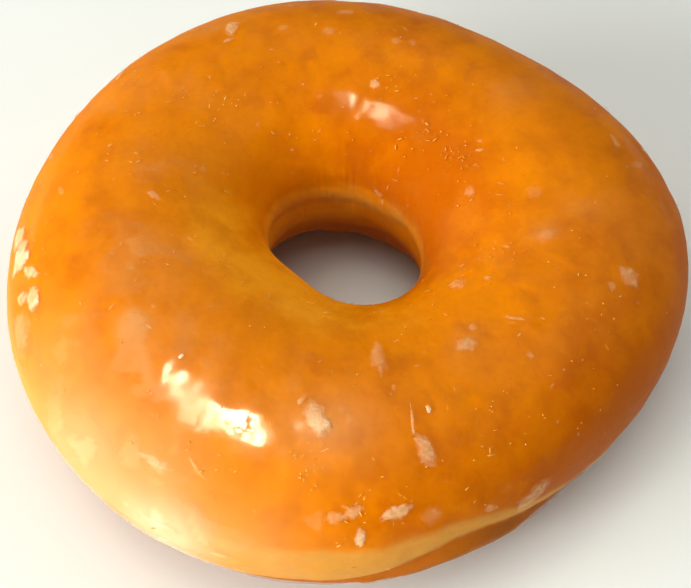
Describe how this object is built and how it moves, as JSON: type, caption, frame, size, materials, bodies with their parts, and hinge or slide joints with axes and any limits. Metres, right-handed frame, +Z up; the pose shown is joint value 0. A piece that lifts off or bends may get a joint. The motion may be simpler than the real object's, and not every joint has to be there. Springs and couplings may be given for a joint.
{
  "type": "glazed ring doughnut",
  "caption": "Whole raised ring doughnut with a thin set sugar glaze, a pale band round its side and a round hole through the middle.",
  "frame": {"origin": "middle of the outline, on the surface the doughnut rests on", "axes": "+Z up through the hole, out of the glazed crown; -Y towards the viewer of the shown side; +X to that viewer's right"},
  "size_m": [0.0936, 0.093, 0.0304],
  "materials": {
    "glazed_dough": "satin"
  },
  "bodies": {
    "root": {"dough_ring": "glazed_dough"}
  },
  "joints": []
}
